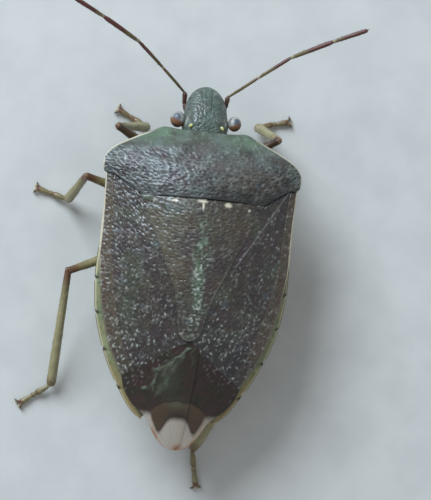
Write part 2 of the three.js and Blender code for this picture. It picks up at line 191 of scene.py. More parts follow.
def shell(name, plan, over, under, columns, rows, masks, *finish, below=1):
    """A closed shell between two height functions over a patch; below weakens its masks on the lower face."""
    s, t = np.meshgrid(np.linspace(0, 1, columns + 1), np.linspace(0, 1, rows + 1))
    x, y = plan(s, t)
    sheets = [np.stack([x, y, height(x, y, s, t)], axis=-1).reshape(-1, 3) for height in (over, under)]
    index = np.arange(x.size).reshape(x.shape)
    quads = np.stack([index[:-1, :-1], index[:-1, 1:], index[1:, 1:], index[1:, :-1]], axis=-1).reshape(-1, 4)
    rim = np.concatenate([index[0, :-1], index[:-1, -1], index[-1, :0:-1], index[:0:-1, 0]])
    ahead = np.roll(rim, -1)
    wall = np.stack([ahead, rim, rim + x.size, ahead + x.size], axis=-1)
    points = np.concatenate(sheets)
    faces = outward(points, np.concatenate([quads, quads[:, ::-1] + x.size, wall]))
    flat = {key: np.ravel(np.clip(value, 0, 1) * np.ones_like(x)) for key, value in masks(x, y, s, t).items()}
    piece(name, points, faces, {key: np.concatenate([v, v * below]) for key, v in flat.items()}, *finish)


# Relief of the shell: a raster over the back, in millimetres, stamped with pits and read at any point
CELL = 0.0125
RELIEF_LOW = (-4.3, -9.3)
RELIEF_SPAN = (8.6, 12.9)
RELIEF_SIZE = tuple(int(span / CELL) for span in RELIEF_SPAN)


def between(grid, px, py, ease=False):
    """Values of a grid between its points, at columns px and rows py."""
    ix, iy = px.astype(int), py.astype(int)
    fx, fy = px - ix, py - iy
    if ease:
        fx, fy = smooth(fx, 0, 1), smooth(fy, 0, 1)
    upper = grid[iy, ix] * (1 - fx) + grid[iy, ix + 1] * fx
    lower = grid[iy + 1, ix] * (1 - fx) + grid[iy + 1, ix + 1] * fx
    return upper * (1 - fy) + lower * fy


def read(raster, x, y):
    px = np.clip((x - RELIEF_LOW[0]) / CELL, 0, RELIEF_SIZE[0] - 1.001)
    py = np.clip((y - RELIEF_LOW[1]) / CELL, 0, RELIEF_SIZE[1] - 1.001)
    return between(raster, px, py)


def smooth_noise(spacing, seed):
    """Random heights from -1 to 1 on the relief raster, smooth over the given spacing in millimetres."""
    columns, rows = (int(span / spacing) + 4 for span in RELIEF_SPAN)
    knots = np.random.default_rng(seed).uniform(-1, 1, (rows, columns))
    px, py = np.meshgrid(*(np.arange(size) * CELL / spacing + 1 for size in RELIEF_SIZE))
    return between(knots, px, py, ease=True)


def stamp_pits(spacing, radii, tilt, jitter, seed, keep, faintest=1.0):
    """Oval marks on a loose, staggered grid; tilt(x, y) turns them, keep(x, y) is the chance of each."""
    draw = np.random.default_rng(seed)
    raster = np.zeros(RELIEF_SIZE[::-1])
    reach = int(2.2 * radii[0] / CELL)
    offsets = np.arange(-reach, reach + 1) * CELL
    ox, oy = np.meshgrid(offsets, offsets)
    for row in range(int(RELIEF_SPAN[1] / spacing[1])):
        for column in range(int(RELIEF_SPAN[0] / spacing[0])):
            shift = draw.uniform(-jitter, jitter, 2)
            x = RELIEF_LOW[0] + (column + 0.5 * (row % 2) + 0.5 + shift[0]) * spacing[0]
            y = RELIEF_LOW[1] + (row + 0.5 + shift[1]) * spacing[1]
            size = draw.uniform(0.75, 1.2)
            if draw.random() > keep(x, y):
                continue
            ix, iy = int((x - RELIEF_LOW[0]) / CELL), int((y - RELIEF_LOW[1]) / CELL)
            if not (reach <= ix < RELIEF_SIZE[0] - reach and reach <= iy < RELIEF_SIZE[1] - reach):
                continue
            angle = tilt(x, y) + draw.normal(0, 0.3)
            along = (ox * math.cos(angle) + oy * math.sin(angle)) / (radii[0] * size)
            sideways = (oy * math.cos(angle) - ox * math.sin(angle)) / (radii[1] * size)
            mark = np.exp(-(along ** 2 + sideways ** 2)) * draw.uniform(faintest, 1.0)
            window = raster[iy - reach:iy + reach + 1, ix - reach:ix + reach + 1]
            np.maximum(window, mark, out=window)
    return raster


def shield_tilt(x, y):
    return 0.5 * math.tanh(x / 1.8)


def wing_tilt(x, y):
    return (0.9 if abs(x) < 3.3 else 0.4) * math.copysign(1, x)


def fleck_tilt(x, y):
    return 2.4 * math.sin(37 * x + 23 * y)


def everywhere(x, y):
    return 0.94


def in_front(x, y):
    return 0.9 if y > 1.4 else -1.0


def fleck_chance(x, y):
    """Pale flecks, partly painted glints, are rare on the shield and thicken in clumps towards the tail."""
    if y > -1.2:
        return 0.12
    most = 0.42 if abs(x) > scutellum_half_width(y) else 0.2
    clump = 1 + 0.9 * read(MEDIUM_NOISE, x, y) + 0.5 * read(BROAD_NOISE, x, y)
    return (most + 0.22 * min(1.0, max(0.0, (-y - 4.5) / 3))) * clump


FINE_NOISE = smooth_noise(0.09, 3)
MEDIUM_NOISE = smooth_noise(0.28, 4)
BROAD_NOISE = smooth_noise(0.9, 5)
COARSE_PITS = stamp_pits((0.21, 0.12), (0.105, 0.042), shield_tilt, 0.36, 11, everywhere, 0.6)
WING_PITS = stamp_pits((0.17, 0.13), (0.085, 0.04), wing_tilt, 0.4, 12, everywhere, 0.6)
HEAD_PITS = stamp_pits((0.13, 0.1), (0.06, 0.036), shield_tilt, 0.36, 13, in_front)
# pale flecks: partly real pale specks, partly painted glints
FLECKS_AND_PAINTED_GLINTS = stamp_pits((0.17, 0.17), (0.05, 0.026), fleck_tilt, 0.48, 14, fleck_chance, 0.15)


def ridges(pits, x, y):
    """Pale rises between the pits, from 0 to 1, broken up as the real ones are."""
    rise = read(FINE_NOISE, x, y) + 0.5 * read(MEDIUM_NOISE, x, y)
    return smooth(rise, 0.1, 0.8) * (1 - smooth(read(pits, x, y), 0.15, 0.5))


def shell_relief(pits, x, y, depth, roughness):
    """Height in millimetres that the pits and wrinkles add to the smooth back."""
    wrinkles = 0.5 * read(FINE_NOISE, x, y) + 0.5 * read(MEDIUM_NOISE, x, y)
    return roughness * wrinkles - depth * read(pits, x, y)


def rolled(distance, radius):
    """Fall of a rounded edge at a distance from it."""
    u = np.clip(1 - distance / radius, 0, 1)
    return radius * (1 - np.sqrt(1 - u * u))


# Materials
class Paint:
    """A material under construction: colours laid over each other by masks and noises."""

    def __init__(self, name, base, **sockets):
        self.material = bpy.data.materials.new(name)
        self.material.use_nodes = True
        self.tree = self.material.node_tree
        self.base = srgb(*base)
        self.shader = self.tree.nodes["Principled BSDF"].inputs
        for key, value in sockets.items():
            self.shader[key.replace("_", " ")].default_value = value
        self.place = self.tree.nodes.new("ShaderNodeTexCoord").outputs["Object"]

    def feed(self, socket, source):
        """Link a socket to what feeds it, or give it a value."""
        if isinstance(source, bpy.types.NodeSocket):
            self.tree.links.new(source, socket)
        else:
            socket.default_value = source

    def add(self, kind, output, **inputs):
        """The output of a new node with its inputs fed."""
        node = self.tree.nodes.new("ShaderNode" + kind)
        for key, source in inputs.items():
            self.feed(node.inputs[key.replace("_", " ")], source)
        return node.outputs[output]

    def mask(self, name):
        output = self.add("Attribute", "Fac")
        output.node.attribute_name = name
        return output

    def scaled(self, per_mm):
        return self.add("Mapping", "Vector", Scale=(per_mm / MM,) * 3, Vector=self.place)

    def noise(self, per_mm, detail, roughness=0.55):
        place = self.scaled(per_mm)
        return self.add("TexNoise", "Fac", Scale=1.0, Detail=detail, Roughness=roughness, Vector=place)

    def ramp(self, source, low, high, bottom=0.0, top=1.0):
        ends = {"From_Min": low, "From_Max": high, "To_Min": bottom, "To_Max": top}
        output = self.add("MapRange", "Result", Value=source, **ends)
        output.node.interpolation_type = "SMOOTHSTEP"
        return output

    def clouds(self, per_mm, detail, low, high, top=1.0, roughness=0.55):
        return self.ramp(self.noise(per_mm, detail, roughness), low, high, 0.0, top)

    def sum(self, a, b, operation="ADD"):
        node = self.tree.nodes.new("ShaderNodeMath")
        node.operation = operation
        node.use_clamp = True
        self.feed(node.inputs[0], a)
        self.feed(node.inputs[1], b)
        return node.outputs["Value"]

    def times(self, a, b):
        return self.sum(a, b, "MULTIPLY")

    def lay(self, colour, factor):
        """One more colour over what is there."""
        node = self.tree.nodes.new("ShaderNodeMix")
        node.data_type = "RGBA"
        under, over, result = (s for s in (*node.inputs, *node.outputs) if s.type == "RGBA")
        self.feed(under, self.base)
        self.feed(over, srgb(*colour))
        self.feed(node.inputs["Factor"], factor)
        self.base = result

    def lay_masks(self, **colours):
        for name, colour in colours.items():
            self.lay(colour, self.mask(name))

    def rough(self, per_mm, detail, low, high):
        self.feed(self.shader["Roughness"], self.ramp(self.noise(per_mm, detail), 0.3, 0.7, low, high))

    def bump(self, height, millimetres, strength):
        normal = self.add("Bump", "Normal", Strength=strength, Distance=millimetres * MM, Height=height)
        self.feed(self.shader["Normal"], normal)

    def done(self):
        self.feed(self.shader["Base Color"], self.base)
        return self.material


def shell_material(name, dark, mid, green, roughness, gloss):
    """Pitted shell: dark base with mid and green clouds, darker pits, pale specks, a cream edge, and painted
    shade and highlights in its masks.
    """
    coat = {"Coat_Weight": 0.36 * gloss, "Coat_Roughness": 0.2, "Coat_IOR": 1.5}
    m = Paint(name, dark, IOR=1.5, Specular_IOR_Level=gloss, **coat)
    m.lay(mid, m.clouds(1.6, 5, 0.38, 0.64, 1.0, 0.65))
    m.lay((72, 50, 54), m.clouds(1.1, 4, 0.5, 0.64, 0.6, 0.6))
    m.lay((84, 96, 100), m.clouds(1.9, 4, 0.56, 0.7, 0.55, 0.65))
    m.lay((36, 30, 26), m.clouds(2.7, 4, 0.54, 0.68, 0.6, 0.65))
    m.lay((86, 68, 48), m.times(m.mask("warm"), 0.8))
    m.lay(green, m.times(m.mask("green"), m.clouds(2.3, 3, 0.2, 0.6)))
    m.lay((28, 21, 20), m.ramp(m.mask("pit"), 0.2, 0.85, 0.0, 0.72))
    # dark carries painted shadow as well as dark colour; pale and cream carry painted glints and highlights as
    # well as pale colour
    m.lay_masks(dark=(28, 22, 20), pale=(190, 190, 178), cream=(222, 208, 180))
    m.rough(6.0, 3, roughness - 0.07, roughness + 0.1)
    m.bump(m.noise(22.0, 3, 0.6), 0.006, 0.6)
    return m.done()


def belly_material():
    m = Paint("belly", (118, 128, 94), IOR=1.5)
    m.lay((152, 154, 114), m.clouds(1.6, 4, 0.35, 0.7))
    m.lay((70, 90, 62), m.clouds(3.1, 3, 0.52, 0.7, 0.7))
    m.lay_masks(warm=(152, 130, 84), cream=(208, 192, 156), dark=(38, 30, 25))
    m.rough(5.0, 3, 0.32, 0.5)
    m.bump(m.noise(14.0, 3), 0.008, 0.6)
    return m.done()


def film_material():
    m = Paint("film", (62, 45, 40), IOR=1.45, Roughness=0.36)
    m.lay((50, 46, 34), m.clouds(1.2, 4, 0.4, 0.62, 1.0, 0.6))
    m.lay((40, 33, 28), m.clouds(3.0, 4, 0.55, 0.7, 0.7))
    m.lay((84, 66, 48), m.times(m.mask("lobe"), 0.85))
    # the fleck colour is partly painted glints, and green on the creases is partly painted highlight
    m.lay_masks(fleck=(160, 156, 150), green=(104, 114, 92), line=(42, 30, 24), tip=(190, 174, 156))
    m.lay((100, 74, 54), m.times(m.mask("vein"), 0.7))
    m.lay_masks(rim=(164, 120, 88))
    clear = m.sum(m.times(m.mask("vein"), 0.3), m.times(m.mask("rim"), 0.3))
    m.feed(m.shader["Alpha"], m.sum(m.ramp(m.mask("tip"), 0.0, 0.8, 0.97, 0.5), clear))
    m.bump(m.noise(5.0, 2), 0.01, 0.5)
    return m.done()


def limb_material(name, colour, other, brown, roughness):
    """Olive shell with brown joints, black tips and pale hairs."""
    m = Paint(name, colour, IOR=1.5, Specular_IOR_Level=0.55)
    m.lay(other, m.clouds(2.6, 4, 0.35, 0.68))
    m.lay((60, 66, 30), m.clouds(9.0, 2, 0.62, 0.72, 0.5))
    m.lay_masks(brown=brown, black=(28, 20, 17), pale=(196, 184, 140))
    m.rough(8.0, 2, roughness - 0.06, roughness + 0.08)
    m.bump(m.noise(20.0, 3), 0.006, 0.7)
    return m.done()


SHIELD = shell_material("shield", (62, 58, 53), (94, 98, 93), (88, 110, 84), 0.43, 0.52)
SCUTELLUM = shell_material("scutellum", (64, 54, 43), (82, 77, 62), (104, 124, 98), 0.44, 0.76)
WING = shell_material("wing", (48, 32, 29), (68, 57, 43), (72, 80, 56), 0.43, 0.8)
HEAD = shell_material("head", (66, 74, 66), (82, 92, 80), (74, 98, 80), 0.44, 0.78)
BELLY = belly_material()
FILM = film_material()
LIMB = limb_material("limb", (122, 112, 76), (148, 135, 98), (106, 66, 44), 0.34)
FEELER = limb_material("feeler", (92, 78, 46), (112, 94, 58), (92, 48, 38), 0.42)
CAPSULE = limb_material("capsule", (84, 68, 46), (66, 58, 40), (58, 34, 24), 0.4)


# Shield behind the head
def make_pronotum():
    def depth(x):
        return shield_front(np.abs(x)) - shield_rear(np.abs(x))

    def plan(s, t):
        x = SHOULDER_HALF_WIDTH * np.sin((s - 0.5) * np.pi)
        return x, shield_rear(np.abs(x)) + t * depth(x)

    def edge_distance(x, t):
        return np.minimum(np.minimum(t, 1 - t) * depth(x), SHOULDER_HALF_WIDTH + 0.02 - np.abs(x))

    def over(x, y, s, t):
        distance = edge_distance(x, t)
        humps = 0.07 * bell(np.abs(x), 1.15, 0.6) * bell(y, 0.95, 0.28)
        dip = -0.05 * bell(y, 0.45, 0.25) * bell(x, 0, 2.4)
        rear_swell = 0.035 * bell(y, -0.8, 0.25)
        collar = -0.1 * bell(x, 0, 0.95) * smooth(y, 1.2, 1.5)
        plain = smooth(distance, 0.03, 0.16) * (1 - 0.4 * smooth(y, 0.35, 1.0))
        relief = shell_relief(COARSE_PITS, x, y, 0.038, 0.02) * plain * (0.55 + 0.45 * smooth(-y, -1.1, -0.2))
        return back(x, y) + humps + dip + rear_swell + collar + relief - rolled(distance, 0.05)

    def under(x, y, s, t):
        u = across(x, y) ** 2
        centre = 1.25 - 0.9 * smooth(-y, -1.6, 0.9)
        return back(x, y) - centre * (1 - u) - 0.14 * u + rolled(edge_distance(x, t), 0.05)

    def masks(x, y, s, t):
        wide = np.abs(x)
        front = (1 - t) * depth(x)
        from_side = np.where(wide > 3.75, np.minimum(front, SHOULDER_HALF_WIDTH - wide), front)
        pale = 0.4 * read(FLECKS_AND_PAINTED_GLINTS, x, y) + 0.14 * ridges(COARSE_PITS, x, y)
        # a broad faint pale patch right of the middle: painted sheen
        pale = pale + 0.1 * bell(x, 0.9, 1.5) * bell(y, 0.25, 0.5)
        # rear: darker band in front of the rear edge, the left side spared: painted shadow
        rear = (1 - smooth(t, 0.02, 0.2)) * smooth(x, -2.6, -0.4) * smooth(read(BROAD_NOISE, x, y), -0.8, 0.2)
        return {
            "pit": read(COARSE_PITS, x, y) * (1 - 0.75 * smooth(y, 0.3, 1.0)),
            "green": spot(wide - 1.9, y - 1.3, 0.9, 0.3) + 0.3 * smooth(y, 0.3, 1.4)
            + 0.3 * smooth(wide, 3.0, 3.8) * smooth(y, -0.2, 0.4),
            "pale": pale * smooth(t, 0.04, 0.1),
            # the dark rear edge and the rear band are painted shadow; the spot at the right rear is partly
            # darker brown, partly painted shade
            "dark": 0.5 * (1 - smooth(t, 0.0, 0.03)) + 0.4 * rear
            + 0.3 * spot(x + 3.4, y + 0.45, 0.6, 0.35) + 0.5 * spot(x - 2.3, y + 0.85, 1.2, 0.4),
            "warm": 0.8 * spot(x - 2.2, y + 0.5, 1.3, 0.6) * (0.7 + 0.6 * read(MEDIUM_NOISE, x, y)),
            "cream": 0.75 * (1 - smooth(from_side, 0.025, 0.075)) * smooth(wide, 1.75, 2.6),
        }

    shell("pronotum_shell", plan, over, under, 420, 96, masks, SHIELD, "back_shell", "pronotum")


# Triangle in the middle of the back
WHITE_SPOTS = [
    (-1.17, -1.33, 0.13, 0.06, 1.4), (-0.1, -1.28, 0.2, 0.055, 1.7), (0.95, -1.34, 0.14, 0.09, 1.8),
    (-1.98, -1.42, 0.05, 0.05, 0.9), (1.85, -1.46, 0.06, 0.055, 1.4), (-0.06, -1.45, 0.04, 0.18, 1.5),
]


def make_scutellum():
    front = -1.02

    def plan(s, t):
        y = front + (SCUTELLUM_TIP - front) * t ** 0.92
        return (2 * s - 1) * scutellum_half_width(y), y

    def side_distance(x, y):
        return (scutellum_half_width(y) - np.abs(x)) * 0.9

    def over(x, y, s, t):
        distance = np.minimum(side_distance(x, y), (y - SCUTELLUM_TIP) * 0.8 + 0.01)
        swell = 0.05 * (1 - (2 * s - 1) ** 2) * smooth(-y, 1.2, 2.0)
        swell = swell + 0.06 * bell(y, -1.75, 0.5) * bell(x, 0, 1.6)
        tuck = -0.1 * (1 - smooth(-y, 1.12, 1.26))
        wide = np.abs(x)
        corner = 0.05 * spot(wide - 2.3, y + 1.32, 0.12, 0.09) - 0.09 * spot(wide - 2.22, y + 1.5, 0.12, 0.11)
        relief = shell_relief(COARSE_PITS, x, y, 0.03, 0.02) * smooth(distance, 0.02, 0.12)
        return back(x, y) + swell + tuck + corner + relief - rolled(distance, 0.03)

    def under(x, y, s, t):
        return back(x, y) - 0.14

    def masks(x, y, s, t):
        grain = 0.55 + 0.8 * read(MEDIUM_NOISE, x, y) + 0.4 * read(FINE_NOISE, x, y)
        streak = bell(x, 0.08, 0.24) * smooth(-y, 1.6, 2.8) * (1 - 0.75 * smooth(-y, 5.6, 6.3)) * grain
        rises = ridges(COARSE_PITS, x, y)
        flecks = (0.7 * read(FLECKS_AND_PAINTED_GLINTS, x, y) + 0.25 * rises) * (0.5 + 0.5 * bell(x, 0.1, 0.4))
        lit = 0.8 * rises * bell(x, 0.08, 0.2) * smooth(-y, 2.8, 3.6) * (1 - smooth(-y, 5.7, 6.4))
        # edge: a pale line along the right margin only: painted highlight on the rim
        edge = (1 - smooth(side_distance(x, y), 0.03, 0.07)) * smooth(x, 0, 0.3)
        edge = edge * smooth(-y, 3.4, 4.4) * (1 - smooth(-y, 5.0, 5.8))
        clouds = smooth(read(BROAD_NOISE, x, y), -0.2, 0.5) * smooth(-y, 1.5, 2.2) * (1 - smooth(-y, 4.6, 5.6))
        white = np.max([k * spot(x - cx, y - cy, rx, ry) for cx, cy, rx, ry, k in WHITE_SPOTS], axis=0)
        return {
            "pit": 0.8 * read(COARSE_PITS, x, y),
            "green": streak + 0.15 * smooth(-x, 0.2, 1.6) + 0.5 * spot(x + 2.28, y + 1.32, 0.16, 0.1),
            "pale": flecks + lit + 0.22 * edge + 0.5 * spot(x + 0.62, y + 3.52, 0.05, 0.05),
            # the dark spot just behind the tip is painted shadow, and the cream on the tip is a pale edge with
            # a painted highlight; the basal pits are their own dark colour
            "dark": 0.9 * spot(np.abs(x) - 2.22, y + 1.5, 0.13, 0.11)
            + 0.9 * spot(x + 0.36, y + 6.66, 0.08, 0.05),
            "cream": np.clip(white - 0.25, 0, 1) + 0.45 * spot(x + 0.36, y + 6.58, 0.09, 0.035),
            "warm": bell(s, 0.07, 0.12) * smooth(-y, 1.6, 2.0) * (1 - smooth(-y, 4.0, 5.4))
            + 0.4 * spot(x - 1.1, y + 2.3, 0.8, 0.9) + 0.7 * clouds,
        }

    shell("scutellum_shell", plan, over, under, 160, 230, masks, SCUTELLUM, "back_shell", "scutellum")


# Leathery part of each fore wing
claval_seam = through(
    (-0.36, 3.63), (-1.3, 3.05), (-2.0, 2.62), (-2.4, 2.37), (-3.0, 2.0), (-3.64, 1.6), (-4.8, 0.99),
    (-5.4, 0.78),
)


def make_corium(word, side):
    inner_front, outer_front = -1.3, -0.75
    inner_rear, outer_rear = -6.93, CORIUM_OUTER_END[1]

    def plan(s, t):
        inner_y = inner_front + (inner_rear - inner_front) * t
        inner_x = scutellum_half_width(inner_y) - 0.1
        outer_y = outer_front + (outer_rear - outer_front) * t
        x = inner_x + (wing_edge(outer_y) - inner_x) * s
        y = inner_y + (outer_y - inner_y) * s
        return side * x, y + (shield_rear(x) + 0.12 - y) * (1 - t) ** 5

    def over(x, y, s, t):
        outside = np.clip(wing_edge(y) - np.abs(x), 0, None)
        distance = np.minimum(outside, (1 - t) * 1.6) + 0.004
        vein = 0.022 * bell(s, 0.84, 0.014) - 0.012 * bell(s, 0.87, 0.016)
        from_seam = np.abs(x) - claval_seam(y)
        furrow = 0.014 * bell(from_seam, 0, 0.045) - 0.01 * bell(from_seam, 0.08, 0.04)
        furrow = furrow * smooth(y, -4.2, -3.4)
        branch = 0.02 * bell(s, 0.56 + 0.1 * t, 0.02) * smooth(t, 0.1, 0.3)
        tuck = -0.06 * (1 - smooth(shield_rear(np.abs(x)) - y, 0.0, 0.1)) - 0.04 * (1 - smooth(s, 0.0, 0.05))
        relief = shell_relief(WING_PITS, x, y, 0.03, 0.022) * smooth(distance, 0.02, 0.1)
        return back(x, y) - 0.015 + vein + furrow + branch + tuck + relief - rolled(distance, 0.05)

    def under(x, y, s, t):
        return back(x, y) - 0.12 - 0.12 * (1 - smooth(s, 0.0, 0.06))

    def masks(x, y, s, t):
        wide = np.abs(x)
        flecks = 1.05 * read(FLECKS_AND_PAINTED_GLINTS, x, y) + 0.12 * ridges(WING_PITS, x, y)
        flecks = flecks * (0.65 + 0.35 * smooth(-y, 5.0, 7.0)) * smooth(s, 0.03, 0.1)
        # seam: a pale line along the claval seam, stronger on the right: painted highlight on its low ridge
        seam = (0.2 if side > 0 else 0.06) * bell(wide - claval_seam(y), 0, 0.045) * smooth(y, -4.2, -3.4)
        hind = (0.7 if side > 0 else 0.45) * smooth(t + 0.06 * read(MEDIUM_NOISE, x, y), 0.75, 1.0)
        # shoulder: darker behind the shield's rear edge on the outer part: painted shadow cast by the shield
        shoulder = (1 - smooth(shield_rear(wide) - y, 0.05, 0.45)) * smooth(wide, 2.3, 2.9)
        edge = (1 - smooth(wing_edge(y) - wide, 0.045, 0.085)) * smooth(s, 0.8, 0.9)
        clouds = smooth(read(BROAD_NOISE, x, y), -0.1, 0.7) * smooth(0.82 - s, 0, 0.05)
        return {
            "pit": 0.8 * read(WING_PITS, x, y) * (1 - 0.8 * bell(s, 0.84, 0.02)),
            "green": 0.5 * clouds + 0.2 * bell(s, 0.87, 0.03),
            "pale": flecks + seam,
            "dark": hind + 0.15 * bell(s, 0.865, 0.014) + 0.55 * shoulder,
            "cream": edge * (0.8 - 0.7 * smooth(-y, 3.0, 5.0)),
            "warm": smooth(s, 0.8, 0.86) + 0.8 * bell(s, 0.835, 0.02),
        }

    shell(f"corium_shell_{word}", plan, over, under, 150, 320, masks, WING, "wing_shell", f"corium_{word}")


# Thin hind part of each fore wing. The left one lies over the right one and makes the round tip.
CREASES = [
    (1.0, 0.065, [(0.1, -7.18), (-0.42, -7.71), (-0.79, -7.98), (-1.13, -8.14), (-1.07, -8.69),
                  (-1.2, -8.95)]),
    (0.9, 0.12, [(-0.6, -7.86), (-0.74, -8.1), (-0.7, -8.3)]),
    (0.5, 0.12, [(-0.3, -7.75), (-0.55, -8.2), (-0.9, -9.1)]),
    (0.35, 0.04, [(-0.25, -7.2), (-0.5, -7.55), (-0.62, -7.85)]),
    (0.3, 0.05, [(0.32, -7.1), (0.26, -7.6), (0.3, -7.9)]),
    (0.3, 0.04, [(0.75, -7.3), (0.95, -7.8)]),
    # the last two short ridges stand for highlights: their pale green is painted highlight
    (0.9, 0.06, [(-1.46, -8.93), (-1.36, -8.88)]),
    (0.9, 0.05, [(-1.22, -8.86), (-1.12, -8.76)]),
]

# Outer edge of the film: share of the way back, x and y
MEMBRANE_EDGE = [
    (0, 2.46, -8.4), (0.15, 2.28, -9.0), (0.3, 1.86, -9.6), (0.4, 1.5, -9.9), (0.5, 1.25, -10.14),
    (0.7, 0.97, -10.62), (0.85, 0.66, -11.02), (0.95, 0.36, -11.25), (1, 0.06, MEMBRANE_TIP),
]


def crease(x, y, width, *stops):
    """A soft line from 0 to 1 along straight stretches between stops."""
    nearest = np.full(np.shape(x), 9.0)
    for (ax, ay), (bx, by) in zip(stops, stops[1:]):
        share = ((x - ax) * (bx - ax) + (y - ay) * (by - ay)) / ((bx - ax) ** 2 + (by - ay) ** 2)
        share = np.clip(share, 0, 1)
        nearest = np.minimum(nearest, np.hypot(x - ax - share * (bx - ax), y - ay - share * (by - ay)))
    return bell(nearest, 0, width)


def tail_reach(x):
    """How far back the last segment reaches: a pointed lobe on each side."""
    return -10.0 - 0.6 * bell(np.abs(x), 0.71, 0.25)


def make_membrane(word, side):
    on_top = side < 0
    lift = 0.03 if on_top else 0.0
    outer_x = through(*((share, x) for share, x, y in MEMBRANE_EDGE))
    outer_y = through(*((share, y) for share, x, y in MEMBRANE_EDGE))

    def plan(s, t):
        far = 0.5 - 0.3 * t ** 2 if on_top else -0.3 + 0.2 * t ** 2
        inner_x = -far * (1 - 0.8 * smooth(t, 0.93, 1.0))
        inner_y = -6.8 + (MEMBRANE_TIP + 6.8) * t + 0.05 * smooth(t, 0.93, 1.0)
        x = outer_x(t) + (inner_x - outer_x(t)) * s
        y = outer_y(t) + (inner_y - outer_y(t)) * s + 0.3 * (1 - t) * np.sin(np.pi * s)
        return side * x, y

    def veins(s, t):
        wave = np.abs(np.sin(np.pi * (s * 4.5 + 0.35 * np.sin(2.3 * t + 4 * s))))
        ends = smooth(t, 0.03, 0.15) * (1 - smooth(t, 0.8, 0.95)) * smooth(s, 0.04, 0.1)
        return (1 - smooth(wave, 0.04, 0.2)) * ends

    def folds(x, y):
        """Creases at the root beside the corium, on the wing that lies on top."""
        bent = x + 0.13 * read(MEDIUM_NOISE, x, y) + 0.05 * read(FINE_NOISE, x, y)
        rise = np.max([height * crease(bent, y, width, *stops) for height, width, stops in CREASES], axis=0)
        return on_top * rise * np.clip(0.7 + 0.9 * read(MEDIUM_NOISE, x, y + 0.4), 0.1, 1.3)

    def sheet(x, y, t):
        return back(x, y) + lift + 0.015 * np.sin(4.5 * y + 3 * x) * smooth(t, 0.1, 0.4) + 0.05 * folds(x, y)

    def over(x, y, s, t):
        return sheet(x, y, t) - 0.05 + 0.008 * veins(s, t)

    def under(x, y, s, t):
        return sheet(x, y, t) - 0.085

    def masks(x, y, s, t):
        wide = np.abs(x)
        reach = tail_reach(x)
        # distances past the arc where the last segment shows through, and past the end of the corium
        from_dome = -y - 9.3 - 0.4 * np.abs(x / 1.05) ** 2.4 + 0.05 * read(MEDIUM_NOISE, x, y)
        from_corium = 0.74 * (-y - 6.93) - 0.673 * (wide - 0.5)
        over_tail = smooth(1.15 - wide, 0, 0.1)
        flecks = read(FLECKS_AND_PAINTED_GLINTS, x, y) * (1 - smooth(from_corium, 0.15, 0.9)) * smooth(wide, 0.5, 0.9)
        rim = (1 - smooth(np.minimum((1 - t) * 2.0, s * 1.6), 0.03, 0.2)) * smooth(t, 0.55, 0.75)
        patchy = 0.35 + 0.65 * smooth(read(BROAD_NOISE, 3 * x, 3 * y + 27), -0.2, 0.5)
        return {
            "vein": veins(s, t) * (0.1 + 0.3 * smooth(-y, 10.0, 10.7)),
            "line": 0.7 * bell(from_dome, 0, 0.035) * over_tail
            + 0.7 * bell(reach - y, -0.02, 0.08) * smooth(1.0 - wide, 0, 0.1),
            "fleck": 0.75 * flecks,
            "lobe": smooth(from_dome, -0.04, 0.14) * over_tail
            * (1 - 0.85 * spot(x + 0.05, y + 9.95, 0.45, 0.35)),
            "rim": rim * patchy,
            "tip": smooth(reach + 0.16 * smooth(wide, 0.98, 1.12) - y, -0.08, 0.2),
            # green on the folds: pale green along the crease ridges, partly painted highlight
            "green": 0.7 * folds(x, y) + 0.3 * spot(x + 0.15, y + 9.45, 0.4, 0.2)
            + 0.16 * spot(x + 0.5, y + 8.5, 0.45, 0.6),
        }

    shell(f"membrane_film_{word}", plan, over, under, 130, 170, masks, FILM, "wing_film", f"membrane_{word}")


# Body under the wings: thorax and abdomen in one skin
def make_body():
    front = 1.42

    def plan(s, t):
        y = front + (ABDOMEN_REAR - front) * t
        from_nick = ((front - ABDOMEN_REAR) * t - 0.06) % SEGMENT_LENGTH - SEGMENT_LENGTH / 2
        nick = 0.045 * bell(from_nick, 0, 0.05) * smooth(-y, 3.0, 4.5)
        inset = 0.12 * smooth(y, -3.4, -2.6)
        x = np.sin((s - 0.5) * np.pi) * (half_width(y) - nick - inset)
        notch = 0.75 * smooth(t, 0.9, 1.0) * (1 - np.clip(np.abs(x) / 1.5, 0, 1) ** 4)
        return x, y + notch

    def place_in_segment(x, y):
        return ((-y - 3.9 + 0.1 * np.abs(x) ** 1.3) / SEGMENT_LENGTH) % 1.0

    def from_seam(x, y):
        place = place_in_segment(x, y)
        return np.minimum(place, 1 - place)

    def over(x, y, s, t):
        rim = smooth(across(x, y), 0.86, 0.97)
        groove = 0.03 * bell(from_seam(x, y), 0, 0.05) * rim * smooth(-y, 3.0, 4.0)
        return back(x, y) - 0.2 + 0.05 * rim - groove - rolled(half_width(y) - np.abs(x), 0.1)

    def under(x, y, s, t):
        height = keel(y) + (edge_height(y) - 0.22 - keel(y)) * across(x, y) ** 2.1
        bands = 0.035 * bell(from_seam(x, y), 0, 0.04) - 0.05 * bell(x, 0, 0.12)
        return height + bands * smooth(-y, 3.2, 4.0) + rolled(half_width(y) - np.abs(x), 0.1) * 0.5

    def masks(x, y, s, t):
        u = across(x, y)
        rim = smooth(u, 0.8, 0.95)
        dots = bell(from_seam(x, y), 0, 0.045) * smooth(u, 0.955, 0.97) + 0.5 * bell(from_seam(x, y), 0, 0.02)
        return {
            "cream": 0.75 * (1 - smooth(half_width(y) - np.abs(x), 0.04, 0.09)),
            "warm": rim * (0.85 * smooth(-y, 7.4, 9.4) + 0.3 * bell(place_in_segment(x, y), 0.5, 0.3)),
            "dark": 1 - smooth(u, 0.8, 0.86) + smooth(-y, 3.6, 4.2) * dots,
        }

    shell("body_skin", plan, over, under, 176, 270, masks, BELLY, "belly_shell", "thorax", "abdomen", below=0)


# Round shapes along a path: limbs, feelers and beak
CAP_RINGS = 5
SPIKE_FACES = np.array([[0, 1, 5, 4], [1, 2, 6, 5], [2, 3, 7, 6], [3, 0, 4, 7], [3, 2, 1, 0], [4, 5, 6, 7]])


